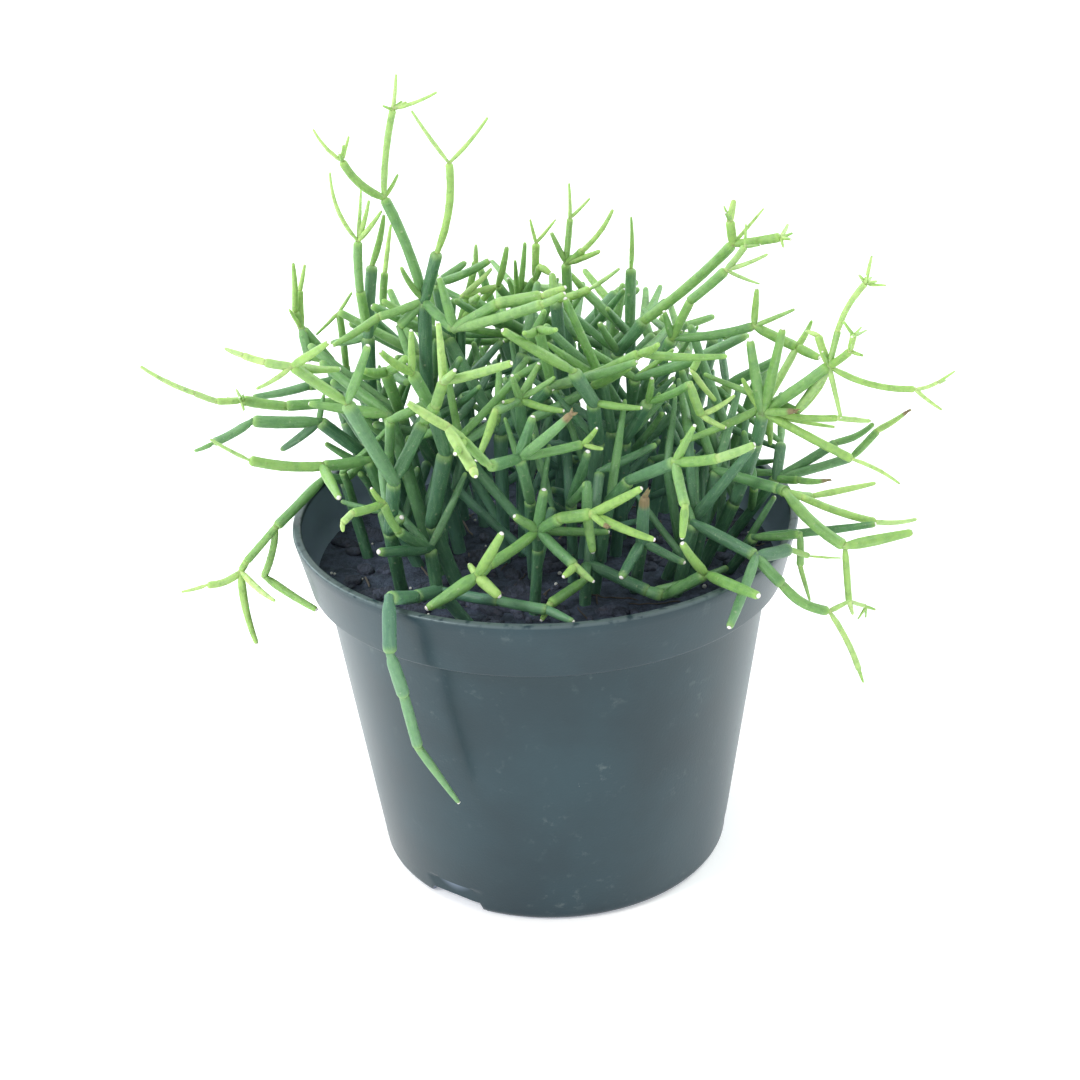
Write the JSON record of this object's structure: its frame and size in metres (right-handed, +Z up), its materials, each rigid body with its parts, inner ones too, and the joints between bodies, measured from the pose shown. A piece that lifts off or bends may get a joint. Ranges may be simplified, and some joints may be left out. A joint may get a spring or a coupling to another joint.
{
  "type": "potted rhipsalis erecta",
  "caption": "Bushy cactus of thin, branching, pencil-like green stems, rooted in bark and peat in a round dark plastic nursery pot; stands on its flat foot",
  "frame": {"origin": "the middle of the pot's flat underside, on the surface it stands on", "axes": "+Z up along the pot's axis; -Y towards the front, the side the picture shows; +X to the picture's right"},
  "size_m": [0.1809, 0.1393, 0.1901],
  "materials": {
    "pot_plastic": "satin moulded polypropylene",
    "soil": "rough bark and peat",
    "stem": "smooth waxy plant skin"
  },
  "bodies": {
    "root": {"pot": "pot_plastic", "soil": "soil", "shoot_hang_front": "stem", "shoot_star_front": "stem", "shoot_soil_right": "stem", "shoot_hook_left": "stem", "shoot_left_bright": "stem", "shoot_mid_cross": "stem", "shoot_brown_tip": "stem", "shoot_right_rim": "stem", "shoot_mid_upright": "stem", "shoot_right_mid": "stem", "shoot_right_slant": "stem", "shoot_inner_cross": "stem", "shoot_right_v": "stem", "shoot_right_low": "stem", "shoot_right_fan": "stem", "shoot_right_reach": "stem", "shoot_left_low": "stem", "shoot_trail_left": "stem", "shoot_left_dark": "stem", "shoot_tall_fork": "stem", "shoot_long_diag": "stem", "shoot_right_pair": "stem", "shoot_right_club": "stem", "shoot_mid_small": "stem", "shoot_centre_bow": "stem", "shoot_right_second": "stem", "shoot_right_long": "stem", "shoot_centre_post": "stem", "shoot_left_pair": "stem", "shoot_far_left": "stem", "shoot_back_left": "stem", "shoot_crown": "stem", "shoot_crown_left": "stem", "shoot_lone_up": "stem", "shoot_left_up": "stem", "shoot_left_thin": "stem", "shoot_far_left_low": "stem", "shoot_grown_1": "stem", "shoot_grown_2": "stem", "shoot_grown_3": "stem", "shoot_grown_4": "stem", "shoot_grown_5": "stem", "shoot_grown_6": "stem", "shoot_grown_7": "stem", "shoot_grown_8": "stem", "shoot_grown_9": "stem", "shoot_grown_10": "stem", "shoot_grown_11": "stem", "shoot_grown_12": "stem", "shoot_grown_13": "stem", "shoot_grown_14": "stem", "shoot_grown_15": "stem", "shoot_grown_16": "stem", "shoot_grown_17": "stem", "shoot_grown_18": "stem", "shoot_grown_19": "stem"}
  },
  "joints": []
}
